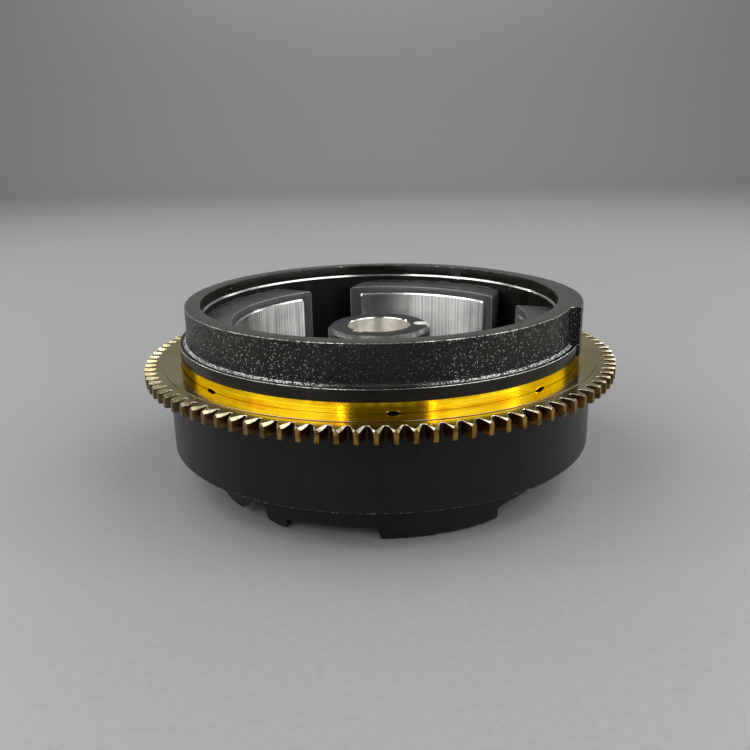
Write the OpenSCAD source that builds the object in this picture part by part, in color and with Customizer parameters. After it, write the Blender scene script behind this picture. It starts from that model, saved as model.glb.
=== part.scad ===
// Magneto flywheel of a small outboard engine, with its starter ring gear.
// It stands open side up. The origin is on the crank axis, at the surface it rests on.
// Angles round the axis are measured from the front (-Y), positive towards +X.

/* [Ring gear] */
// Number of teeth; a multiple of four keeps the outline square to the axes
gear_teeth = 96; // [92:4:104]
// Diametral pitch, in teeth per inch of pitch diameter
gear_pitch = 12; // [11.5:0.1:12.2]
// Thickness of the ring at its bore
gear_thickness = 5.7; // [4.5:0.1:7]
// How far the toothed part lies below the top face
gear_face_step = 0.3; // [0.1:0.1:1]
// Angle of the first tooth
gear_phase = -4.63; // [-5.5:0.01:0]

/* [Cup] */
// Height of the whole flywheel as it stands
total_height = 77.6; // [74:0.2:90]
// Outer radius of the drum below the ring gear
drum_radius = 93.6; // [92:0.2:96]
// Radius of the machined seat that the ring gear sits on
seat_radius = 88.15; // [87:0.05:90]
// Height of the underside of the ring gear
gear_bottom = 47; // [40:0.5:50]
// Height of the ledge where the seat ends and the rough rim starts
ledge_top = 61.8; // [60.5:0.2:63]
// Outer radius of the rough rim
rim_radius = 85; // [83:0.1:86.5]
// Inner radius of the rim above the machined lip
mouth_radius = 78.4; // [78:0.1:80]
// Depth of the machined lip below the rim's top
lip_depth = 5.6; // [3:0.1:7]
// Inner radius of the cup, where the magnets sit
bowl_radius = 77.7; // [76:0.1:77.8]
// Thickness of the cup's floor
floor_thickness = 12; // [9:0.5:13]

/* [Timing arc] */
// Radius that the raised arc on the rim reaches where it starts
arc_radius = 89; // [88.3:0.1:90]
// Angle where the arc starts
arc_start = 68; // [40:0.5:80]
// Distance of the arc's own centre from the crank axis, which makes it grow lower along its length
arc_offset = 8; // [4:0.5:8]
// Height of the underside of the arc
arc_bottom = 56.8; // [54:0.2:61]

/* [Magnets] */
// Number of magnet blocks
magnet_count = 4; // [4:1:4]
// Angle of the first block
magnet_phase = -22.5; // [-45:0.5:45]
// Width of each moulded frame between its straight ends
frame_width = 76.8; // [70:0.2:80]
// Width of each pole shoe between its straight ends
pole_width = 67.4; // [60:0.2:69]
// Radius of the bright inner face of the pole shoes
pole_radius = 64.3; // [62:0.1:65]
// Radius of the inner face of the moulded frames
frame_radius = 65.6; // [65.1:0.1:67]
// Radius where a pole shoe ends and its magnet starts
magnet_radius = 68.3; // [67:0.1:70]
// Height of the top of the moulded frames
frame_top = 68.9; // [66:0.1:70]
// Height of the top of the pole shoes
pole_top = 65.4; // [60:0.1:65.8]
// Height of the bottom of the moulded frames
frame_bottom = 31; // [30.5:0.5:36]
// Height of the bottom of the pole shoes
pole_bottom = 35; // [34.5:0.5:40]

/* [Hub] */
// Height of the top face of the boss
hub_top = 63.9; // [60:0.1:70]
// Outer radius of the boss
hub_radius = 23.1; // [21:0.1:25]
// Radius of the large end of the taper
taper_radius = 14; // [12:0.1:15]
// Radius of the flange that is riveted to the floor
flange_radius = 49; // [47:0.5:52]
// Width of the keyway
keyway_width = 5; // [4:0.5:6]
// Number of rivets
rivet_count = 6; // [4:1:8]
// Pitch circle diameter of the puller holes
puller_pcd = 54; // [52:0.5:56]

/* [Starter pulley] */
// Outer radius of the notched wall
pulley_radius = 82.3; // [80:0.1:84]
// Thickness of the notched wall
pulley_wall = 4.5; // [3.5:0.1:6]
// Height of the pulley
pulley_height = 15.9; // [14:0.1:18]
// Thickness of the pulley's flange
pulley_flange = 3.2; // [2.5:0.1:4]
// Number of times that the notch pattern repeats
pulley_repeats = 3; // [3:1:3]
// Pitch circle diameter of the pulley bolts
bolt_pcd = 126; // [122:1:130]

/* [Hidden] */
$fn = 96;

inch = 25.4;
eps = 0.05;
fit_play = 0.05;
overlap = 0.5;

// Gear tooth proportions, all in modules except the radii
module_mm = inch / gear_pitch;
pitch_radius = module_mm * gear_teeth / 2;
tip_radius = pitch_radius + module_mm;
root_radius = pitch_radius - 1.25 * module_mm;
pressure_angle = 20;
base_radius = pitch_radius * cos(pressure_angle);
gear_lip_radius = root_radius - 3;
gear_top = gear_bottom + gear_thickness;

// Cup
cup_bottom = pulley_height;
floor_top = cup_bottom + floor_thickness;
edge_break = 0.7;
fillet_radius = 1.6;
lip_top = total_height - lip_depth;
lip_slope = 0.6;
bowl_fillet = 2.4;
pilot_radius = 34;
arc_angle = 52;
arc_foot_angle = 25;
arc_shoulder = ledge_top + fillet_radius + eps;
stake_angles = [-47.8, 2.85, 43.6, 91, 137, 182, 226, 271];
stake_width = 3.7;
stake_height = 1.2;
stake_proud = 0.7;

// Magnet blocks
glue_gap = 0.1;
plate_reach = 42;
block_outer = bowl_radius - glue_gap;
bead_size = 1.6;
bead_angle = 54;

// Hub
taper_ratio = 10;
hub_chamfer = 1.8;
flange_thickness = 8;
flange_top = floor_top + flange_thickness;
flange_chamfer = 1.5;
nut_seat_radius = 19;
nut_seat_depth = 4;
taper_bottom = cup_bottom + nut_seat_depth;
taper_small = taper_radius - (hub_top - taper_bottom) / taper_ratio / 2;
mouth_chamfer = 1;
slot_angle = 93;
slot_width = 5.7;
slot_depth = 2.4;
slot_inner = 15.6;
keyway_angle = -37;
keyway_depth = 2.4;
puller_hole_radius = 3.4;
puller_hole_depth = 14;
puller_count = 3;
puller_phase = 60;
rivet_circle = 42;
rivet_radius = 3.5;
rivet_head_radius = 5.5;
rivet_head_height = 2.6;
rivet_head_edge = 1;
rivet_crown_radius = 3.4;
rivet_grip = floor_thickness + flange_thickness;

// Starter pulley
pulley_bore = 50;
notch_roof = pulley_height - pulley_flange;
pattern_angle = 360 / pulley_repeats;
cut_in = pulley_radius - pulley_wall - 3;
cut_out = pulley_radius + 1;

// One repeat of the pulley's pattern: shelf, hook, ramp, notch, short foot, step, deep foot
shelf_start = 42;
shelf_height = 7.2;
shelf_end = 66;
hook_fall_width = 3;
hook_fall_height = 6.3;
hook_bend_width = 8.6;
hook_bend_height = 4.2;
hook_height = 3.2;
ramp_start = 77;
ramp_top = 8.7;
notch_start = 82.8;
notch_end = 86.5;
notch_lean = 2;
notch_lean_height = 3.2;
foot_chamfer = 4.5;
short_foot_height = 0.9;
short_foot_end = 92.9;
step_height = 4.4;
step_end = 118.3;
step_slant = 1.5;
deep_foot_end = 33.5;
foot_rise_width = 4.3;
foot_rise_height = 6.2;
bolt_radius = 4;
bolt_clearance = 0.5;
bolt_count = 3;
bolt_phase = 0;
bolt_head_width = 13;
bolt_head_height = 5.3;
bolt_depth = 9;
washer_radius = 8;
washer_thickness = 1.6;
washer_gap = 0.1;
thread_play = 0.1;

// A ring sector between two radii, two heights and two angles from the front
module sector(r_in, r_out, z_low, z_high, a_start, a_end) {
  rotate([0, 0, a_start - 90])
    rotate_extrude(angle = a_end - a_start)
      translate([r_in, z_low])
        square([r_out - r_in, z_high - z_low]);
}

// Children placed at an angle from the front, at a radius and a height
module at_angle(a, r, z) {
  rotate([0, 0, a - 90])
    translate([r, 0, z])
      children();
}

// Points of a quarter-round fillet, from angle a1 to a2 round its centre
function arc_points(cx, cz, r, a1, a2, steps = 4) =
  [for (i = [0:steps]) let (a = a1 + (a2 - a1) * i / steps) [cx + r * cos(a), cz + r * sin(a)]];

module flywheel_cup() {
  color("dimgray")
    difference() {
      union() {
        rotate_extrude()
          polygon(cup_profile());
        timing_arc();
        for (a = stake_angles)
          stake(a);
      }
      for (i = [0:rivet_count - 1])
        at_angle(i * 360 / rivet_count, rivet_circle, cup_bottom - 1)
          cylinder(r = rivet_radius + fit_play, h = floor_thickness + 2);
      for (i = [0:bolt_count - 1])
        at_angle(bolt_phase + i * 360 / bolt_count, bolt_pcd / 2, cup_bottom - 1)
          cylinder(r = bolt_radius + thread_play, h = bolt_depth + 2);
    }
}

// Cross-section of the cup, from the centre of its underside, round the outside
function cup_profile() = concat(
  [
    [pilot_radius, cup_bottom],
    [drum_radius - edge_break, cup_bottom],
    [drum_radius, cup_bottom + edge_break],
    [drum_radius, gear_bottom],
    [seat_radius, gear_bottom],
    [seat_radius, ledge_top - edge_break],
    [seat_radius - edge_break, ledge_top]
  ],
  arc_points(rim_radius + fillet_radius, ledge_top + fillet_radius, fillet_radius, 270, 180),
  [
    [rim_radius, total_height - edge_break / 2],
    [rim_radius - edge_break / 2, total_height],
    [mouth_radius, total_height],
    [mouth_radius, lip_top + lip_slope],
    [bowl_radius, lip_top]
  ],
  arc_points(bowl_radius - bowl_fillet, floor_top + bowl_fillet, bowl_fillet, 0, -90),
  [[pilot_radius, floor_top]]
);

// Raised arc outside the rim, struck from its own centre so that it grows lower along its length.
// Its first part has a foot that reaches down over the ledge.
module timing_arc() {
  difference() {
    intersection() {
      sector(rim_radius - 1, arc_radius + 1, arc_bottom, total_height, arc_start, arc_start + arc_angle);
      at_angle(arc_start, arc_offset, arc_bottom - 1)
        cylinder(r = arc_radius - arc_offset, h = total_height);
    }
    sector(rim_radius - 2, arc_radius + 2, arc_bottom - 1, arc_shoulder,
           arc_start + arc_foot_angle, arc_start + arc_angle + 1);
  }
}

// Metal punched down over the top of the gear
module stake(a) {
  half = stake_width / seat_radius / PI * 90;
  z = gear_top + eps;
  sector(seat_radius - 1, seat_radius + stake_proud, z, z + stake_height, a - half, a + half);
}

// Angle, in degrees, between the involute at a radius and its start on the base circle
function involute(r) = let (t = acos(min(1, base_radius / r))) tan(t) * 180 / PI - t;

// Half the angle that a tooth covers at a radius
function half_tooth(r) = 90 / gear_teeth + involute(pitch_radius) - involute(r);

function tooth_points(i) = let (c = gear_phase - 90 + i * 360 / gear_teeth) [
  for (r = [root_radius, pitch_radius, tip_radius])
    [r * cos(c - half_tooth(r)), r * sin(c - half_tooth(r))],
  for (r = [tip_radius, pitch_radius, root_radius])
    [r * cos(c + half_tooth(r)), r * sin(c + half_tooth(r))]
];

module ring_gear() {
  color("darkgoldenrod")
    difference() {
      translate([0, 0, gear_bottom])
        union() {
          linear_extrude(height = gear_thickness - gear_face_step)
            polygon([for (i = [0:gear_teeth - 1]) each tooth_points(i)]);
          cylinder(r = gear_lip_radius, h = gear_thickness);
        }
      translate([0, 0, gear_bottom - 1])
        cylinder(r = seat_radius + fit_play, h = gear_thickness + 2);
    }
}

function hub_profile() = [
  [nut_seat_radius, cup_bottom],
  [pilot_radius - fit_play, cup_bottom],
  [pilot_radius - fit_play, floor_top],
  [flange_radius, floor_top],
  [flange_radius, flange_top - flange_chamfer],
  [flange_radius - flange_chamfer, flange_top],
  [hub_radius + flange_chamfer, flange_top],
  [hub_radius, flange_top + flange_chamfer],
  [hub_radius, hub_top - hub_chamfer],
  [hub_radius - hub_chamfer, hub_top],
  [taper_radius + mouth_chamfer, hub_top],
  [taper_radius, hub_top - mouth_chamfer],
  [taper_small, taper_bottom],
  [nut_seat_radius, taper_bottom]
];

module hub_boss() {
  color("gray")
    difference() {
      rotate_extrude()
        polygon(hub_profile());
      at_angle(keyway_angle, 0, cup_bottom)
        translate([0, -keyway_width / 2, 0])
          cube([taper_radius + keyway_depth, keyway_width, hub_top]);
      at_angle(slot_angle, slot_inner + slot_width / 2, hub_top - slot_depth) {
        cylinder(d = slot_width, h = slot_depth + 1);
        translate([0, -slot_width / 2, 0])
          cube([hub_radius, slot_width, slot_depth + 1]);
      }
      for (i = [0:puller_count - 1])
        at_angle(puller_phase + i * 360 / puller_count, puller_pcd / 2, cup_bottom - 1)
          cylinder(r = puller_hole_radius, h = puller_hole_depth + 1);
      for (i = [0:rivet_count - 1])
        at_angle(i * 360 / rivet_count, rivet_circle, floor_top - 1)
          cylinder(r = rivet_radius + fit_play, h = flange_thickness + 2);
    }
}

// One rivet: a turned shank with a low, bevelled head at each end
function rivet_profile() = [
  [0, -rivet_head_height],
  [rivet_crown_radius, -rivet_head_height],
  [rivet_head_radius, -rivet_head_edge],
  [rivet_head_radius, 0],
  [rivet_radius, 0],
  [rivet_radius, rivet_grip],
  [rivet_head_radius, rivet_grip],
  [rivet_head_radius, rivet_grip + rivet_head_edge],
  [rivet_crown_radius, rivet_grip + rivet_head_height],
  [0, rivet_grip + rivet_head_height]
];

module hub_rivets() {
  color("silver")
    for (i = [0:rivet_count - 1])
      at_angle(i * 360 / rivet_count, rivet_circle, cup_bottom)
        rotate_extrude($fn = 32)
          polygon(rivet_profile());
}

function block_centre(i) = magnet_phase + (i - 1) * 360 / magnet_count;

// A curved plate with straight ends, facing the centre of a block
module plate(i, r_in, r_out, z_low, z_high, width) {
  a = block_centre(i);
  intersection() {
    sector(r_in, r_out, z_low, z_high, a - plate_reach, a + plate_reach);
    at_angle(a, 0, z_low - 1)
      translate([0, -width / 2, 0])
        cube([r_out + 1, width, z_high - z_low + 2]);
  }
}

module magnet(i) {
  color("black")
    plate(i, magnet_radius + glue_gap, block_outer, pole_bottom + glue_gap, pole_top - glue_gap,
          pole_width - 2 * glue_gap);
}

module pole_shoe(i) {
  color("lightgray")
    plate(i, pole_radius, magnet_radius, pole_bottom + glue_gap, pole_top - glue_gap,
          pole_width - 2 * glue_gap);
}

module magnet_frame(i) {
  color("darkslategray")
    difference() {
      plate(i, frame_radius, block_outer, frame_bottom, frame_top, frame_width);
      plate(i, frame_radius - 1, block_outer + 1, pole_bottom, pole_top, pole_width);
    }
}

// Glue along the joint between each frame's top and the cup's wall
module adhesive_beads() {
  color("goldenrod")
    for (i = [1:magnet_count])
      rotate([0, 0, block_centre(i) - bead_angle / 2 - 90])
        rotate_extrude(angle = bead_angle)
          polygon([
            [block_outer, frame_top + eps],
            [block_outer, frame_top + bead_size],
            [block_outer - bead_size, frame_top + eps]
          ]);
}

// Straight-sided cut through the wall, drawn in the plane that faces out at an angle
module wall_cut(a, points) {
  rotate([0, 0, a])
    translate([0, -cut_in, 0])
      rotate([90, 0, 0])
        linear_extrude(height = cut_out - cut_in + 1)
          polygon(points);
}

// Width along the wall of an angle at its outer face
function along(a) = a * PI / 180 * pulley_radius;

// The pattern's cuts, from the end of a deep foot round to the start of the next one
module pattern_cuts() {
  shelf_width = along(shelf_start - deep_foot_end);
  hook_width = along(ramp_start - shelf_end);
  ramp_width = along(notch_start - ramp_start);
  notch_width = along(notch_end - notch_start);
  slant_width = along(step_slant);
  wall_cut(deep_foot_end, [
    [0, -1],
    [0, step_height],
    [foot_rise_width, foot_rise_height],
    [shelf_width + overlap, shelf_height],
    [shelf_width + overlap, -1]
  ]);
  sector(cut_in, cut_out, -1, shelf_height, shelf_start, shelf_end);
  wall_cut(ramp_start, [
    [-hook_width - overlap, -1],
    [-hook_width - overlap, shelf_height],
    [hook_fall_width - hook_width, hook_fall_height],
    [hook_bend_width - hook_width, hook_bend_height],
    [0, hook_height],
    [0, -1]
  ]);
  wall_cut(notch_start, [
    [-ramp_width - overlap, -1],
    [-ramp_width - overlap, hook_height],
    [-ramp_width, hook_height],
    [0, ramp_top],
    [overlap, ramp_top],
    [overlap, -1]
  ]);
  wall_cut(notch_end, [
    [-notch_width, -1],
    [-notch_width, notch_roof],
    [0, notch_roof],
    [notch_lean, notch_lean_height],
    [notch_lean + foot_chamfer, short_foot_height],
    [notch_lean + foot_chamfer, -1]
  ]);
  sector(cut_in, cut_out, -1, short_foot_height, notch_end, short_foot_end + overlap);
  sector(cut_in, cut_out, -1, step_height, short_foot_end, step_end);
  wall_cut(step_end, [
    [-overlap, -1],
    [-overlap, step_height],
    [0, step_height],
    [slant_width, 0],
    [slant_width, -1]
  ]);
}

module starter_pulley() {
  color("dimgray")
    difference() {
      union() {
        sector(pulley_radius - pulley_wall, pulley_radius, 0, pulley_height, 0, 360);
        sector(pulley_bore, pulley_radius - 1, notch_roof, pulley_height, 0, 360);
      }
      for (i = [0:pulley_repeats - 1])
        rotate([0, 0, i * pattern_angle])
          pattern_cuts();
      for (i = [0:bolt_count - 1])
        at_angle(bolt_phase + i * 360 / bolt_count, bolt_pcd / 2, notch_roof - 1)
          cylinder(r = bolt_radius + bolt_clearance, h = pulley_flange + 2);
    }
}

module pulley_bolts() {
  color("silver")
    for (i = [0:bolt_count - 1])
      at_angle(bolt_phase + i * 360 / bolt_count, bolt_pcd / 2, 0) {
        head_top = notch_roof - washer_thickness - washer_gap;
        translate([0, 0, head_top - bolt_head_height])
          cylinder(d = bolt_head_width / cos(30), h = bolt_head_height, $fn = 6);
        translate([0, 0, head_top - eps])
          cylinder(r = bolt_radius, h = cup_bottom + bolt_depth - head_top);
      }
}

module pulley_washers() {
  color("silver")
    for (i = [0:bolt_count - 1])
      at_angle(bolt_phase + i * 360 / bolt_count, bolt_pcd / 2, notch_roof - washer_thickness)
        difference() {
          cylinder(r = washer_radius, h = washer_thickness);
          translate([0, 0, -1])
            cylinder(r = bolt_radius + thread_play, h = washer_thickness + 2);
        }
}

flywheel_cup();
ring_gear();
hub_boss();
hub_rivets();
magnet(1);  // magnet_1
magnet(2);  // magnet_2
magnet(3);  // magnet_3
magnet(4);  // magnet_4
pole_shoe(1);  // pole_shoe_1
pole_shoe(2);  // pole_shoe_2
pole_shoe(3);  // pole_shoe_3
pole_shoe(4);  // pole_shoe_4
magnet_frame(1);  // magnet_frame_1
magnet_frame(2);  // magnet_frame_2
magnet_frame(3);  // magnet_frame_3
magnet_frame(4);  // magnet_frame_4
adhesive_beads();
starter_pulley();
pulley_bolts();
pulley_washers();
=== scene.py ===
"""Looks of a magneto flywheel with its starter ring gear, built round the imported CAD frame.

Lengths in the making of meshes are in millimetres and are scaled to metres at the end.
Angles round the axis are measured from the front (-Y), positive towards +X, in degrees.
"""

import math

import bmesh
import bpy
from mathutils import Matrix, Vector, noise


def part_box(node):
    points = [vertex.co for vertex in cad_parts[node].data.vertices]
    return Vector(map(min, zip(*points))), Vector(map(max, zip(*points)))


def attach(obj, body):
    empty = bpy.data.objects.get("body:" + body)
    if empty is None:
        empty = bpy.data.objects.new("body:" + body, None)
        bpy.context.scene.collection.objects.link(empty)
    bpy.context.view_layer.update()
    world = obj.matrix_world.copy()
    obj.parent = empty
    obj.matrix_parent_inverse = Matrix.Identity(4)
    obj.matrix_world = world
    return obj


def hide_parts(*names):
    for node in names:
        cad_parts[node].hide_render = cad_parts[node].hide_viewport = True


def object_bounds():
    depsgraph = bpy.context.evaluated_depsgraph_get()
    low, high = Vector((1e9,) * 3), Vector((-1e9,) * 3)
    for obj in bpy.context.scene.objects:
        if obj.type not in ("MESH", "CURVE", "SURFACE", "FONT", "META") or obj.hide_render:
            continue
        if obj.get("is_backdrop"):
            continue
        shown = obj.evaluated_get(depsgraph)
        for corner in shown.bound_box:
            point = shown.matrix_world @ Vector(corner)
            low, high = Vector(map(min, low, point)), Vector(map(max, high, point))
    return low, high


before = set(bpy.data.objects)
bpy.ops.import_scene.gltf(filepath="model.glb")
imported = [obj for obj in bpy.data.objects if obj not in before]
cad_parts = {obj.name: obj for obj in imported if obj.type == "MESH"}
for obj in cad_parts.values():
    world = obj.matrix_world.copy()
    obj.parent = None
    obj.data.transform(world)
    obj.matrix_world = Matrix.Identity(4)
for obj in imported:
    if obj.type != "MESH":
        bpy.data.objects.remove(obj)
cad_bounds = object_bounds()

MM = 0.001
BODY = "root"


def span(node):
    """Lowest and highest corner of a CAD node, in millimetres."""
    low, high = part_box(node)
    return Vector(low) / MM, Vector(high) / MM


# ---------------------------------------------------------------- sizes, from the frame
cup_low, cup_high = span("flywheel_cup")
gear_low, gear_high = span("ring_gear")
hub_high = span("hub_boss")[1]
pulley_high = span("starter_pulley")[1]
frame_low, frame_high = span("magnet_frame_1")
shoe_low, shoe_high = span("pole_shoe_1")
bead_low, bead_high = span("adhesive_beads")
bolt_low, bolt_high = span("pulley_bolts")
washer_low, washer_high = span("pulley_washers")

TOP = cup_high.z
CUP_BOTTOM = cup_low.z
DRUM_R = cup_high.x
GEAR_BOTTOM = gear_low.z
GEAR_TOP = gear_high.z
HUB_TOP = hub_high.z
FLANGE_R = 49.0
PULLEY_TOP = pulley_high.z
PULLEY_R = pulley_high.x

# The cup
SEAT_R = 88.15
LEDGE_BOTTOM = 56.8
LEDGE_TOP = 61.8
RIM_R = 85.0
MOUTH_R = 78.4
BOWL_R = 77.7
LIP_TOP = TOP - 5.6
LIP_SLOPE = 0.75
CHIPS_START, CHIPS_END = 142.0, 159.0
FLOOR_TOP = CUP_BOTTOM + 12.0
PILOT_R = 34.0
ARC_R = 89.0
ARC_START = 68.0
ARC_OFFSET = 8.0
ARC_REACH = 62.0
STAKE_ANGLES = (-47.8, 2.85, 43.6, 91.0, 137.0, 182.0, 226.0, 271.0)

# The ring gear
TEETH = 96
MODULE = 25.4 / 12
PITCH_R = MODULE * TEETH / 2
TIP_R = PITCH_R + MODULE
ROOT_R = PITCH_R - 1.25 * MODULE
BASE_R = PITCH_R * math.cos(math.radians(20))
FIRST_TOOTH = -4.63
LIP_R = ROOT_R - 3.0
TOOTH_TOP = GEAR_TOP - 0.3
LOW_BREAK = 0.3
FACE, FLANK, BEVEL, LAND, GAP_SHADE, SEAT, EDGE = range(7)

# The hub
HUB_R = 23.1
TAPER_R = 14.0
TAPER_SMALL = 11.8
NUT_SEAT_R = 19.0
NUT_SEAT_Z = CUP_BOTTOM + 4.0
FLANGE_TOP = FLOOR_TOP + 8.0
SLOT_ANGLE = 93.0
SLOT_HALF = 2.85
SLOT_INNER = 15.6
SLOT_DEPTH = 2.4
KEYWAY_ANGLE = -37.0
KEYWAY_HALF = 2.5
KEYWAY_DEPTH = 2.4
PULLERS = 3
FIRST_PULLER = 60.0
PULLER_CIRCLE = 27.0
PULLER_R = 3.4
PULLER_DEPTH = 14.0

# The magnet blocks
BLOCKS = 4
FIRST_BLOCK = -22.5
FRAME_R = 65.6
FRAME_HALF = 38.4
SHOE_R = 64.3
SHOE_HALF = 33.6
SHOE_BACK_R = 68.3
BLOCK_BACK_R = BOWL_R - 0.1

# The starter pulley
PULLEY_WALL = 4.5
PULLEY_BORE = 50.0
PULLEY_FLANGE = 3.2
PULLEY_ROOF = PULLEY_TOP - PULLEY_FLANGE
PULLEY_REPEATS = 3
BOLT_CIRCLE = 63.0
BOLT_HOLE_R = 4.5
BOLTS = 3
RIVET_CIRCLE = 42.0
RIVETS = 6


def around(angle, r, z):
    """The point at an angle from the front, a radius and a height."""
    a = math.radians(angle)
    return Vector((r * math.sin(a), -r * math.cos(a), z))


# ---------------------------------------------------------------- mesh helpers
def link(name, data):
    """A new object in the scene that holds a mesh, a light or a camera."""
    item = bpy.data.objects.new(name, data)
    bpy.context.scene.collection.objects.link(item)
    return item


def make_object(name, points, faces, face_slots=None, materials=(), sharp=30):
    """A smooth-shaded mesh object from points in millimetres; edges over sharp degrees stay crisp."""
    mesh = bpy.data.meshes.new(name)
    mesh.from_pydata([tuple(Vector(p) * MM) for p in points], [], faces)
    for m in materials:
        mesh.materials.append(m)
    if face_slots is not None:
        mesh.polygons.foreach_set("material_index", face_slots)
    piece = link(name, mesh)
    finish_mesh(piece, sharp)
    return piece


def finish_mesh(piece, sharp):
    """Merges doubled points, turns all faces outwards and sets the shading."""
    bm = bmesh.new()
    bm.from_mesh(piece.data)
    bmesh.ops.remove_doubles(bm, verts=bm.verts, dist=1e-7)
    bmesh.ops.recalc_face_normals(bm, faces=bm.faces)
    bm.to_mesh(piece.data)
    bm.free()
    shade(piece, sharp)


def shade(piece, sharp):
    """Shades a piece smooth, but for its edges over sharp degrees."""
    piece.data.polygons.foreach_set("use_smooth", [True] * len(piece.data.polygons))
    piece.data.set_sharp_from_angle(angle=math.radians(sharp))
    piece.data.update()


def tube_faces(loops, count):
    """Faces of a tube through loops of count points each, closed at both ends."""
    faces = []
    for i in range(loops - 1):
        for k in range(count):
            n = (k + 1) % count
            faces.append((i * count + k, i * count + n, (i + 1) * count + n, (i + 1) * count + k))
    last = (loops - 1) * count
    return faces + [tuple(range(count)), tuple(range(last, last + count))]


def settle(piece):
    """Applies a piece's modifiers, so that its mesh is final."""
    bpy.context.view_layer.update()
    graph = bpy.context.evaluated_depsgraph_get()
    mesh = bpy.data.meshes.new_from_object(piece.evaluated_get(graph))
    piece.modifiers.clear()
    old = piece.data
    piece.data = mesh
    bpy.data.meshes.remove(old)


def hand_in(piece, slot, *nodes):
    """Parents a piece to the body's empty and hides the CAD nodes that it stands in for; slot is not
    used.
    """
    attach(piece, BODY)
    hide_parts(*nodes)


def lathe(name, profile, angles, materials, reshape=None, tint=None, sharp=30):
    """Turns a closed outline of (radius, height, material index) into a ring-shaped mesh.

    reshape(angle, r, z) may return another radius and height for a point, and
    tint(angle, r, z, index) another material index for a face.
    """
    points = []
    for a in angles:
        for r, z, _ in profile:
            if reshape:
                r, z = reshape(a, r, z)
            points.append(around(a, r, z))
    count, rows = len(profile), len(angles)
    faces, slots = [], []
    for i in range(rows):
        for k in range(count):
            j, n = (i + 1) % rows, (k + 1) % count
            faces.append((i * count + k, j * count + k, j * count + n, i * count + n))
            r, z, slot = profile[k]
            slots.append(tint(angles[i], r, z, slot) if tint else slot)
    return make_object(name, points, faces, slots, materials, sharp)


def arc_profile(cx, cz, r, a1, a2, steps, slot):
    """Points of a round in an outline, about a centre, from one angle to another."""
    turns = [math.radians(a1 + (a2 - a1) * i / steps) for i in range(steps + 1)]
    return [(cx + r * math.cos(t), cz + r * math.sin(t), slot) for t in turns]


def line_profile(p, q, step, slot):
    """Points along a straight stretch of an outline, a step apart, without its last point."""
    n = max(1, round(math.dist(p, q) / step))
    return [(p[0] + (q[0] - p[0]) * i / n, p[1] + (q[1] - p[1]) * i / n, slot) for i in range(n)]


def even_angles(count):
    return [i * 360 / count - 180 for i in range(count)]


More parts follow.
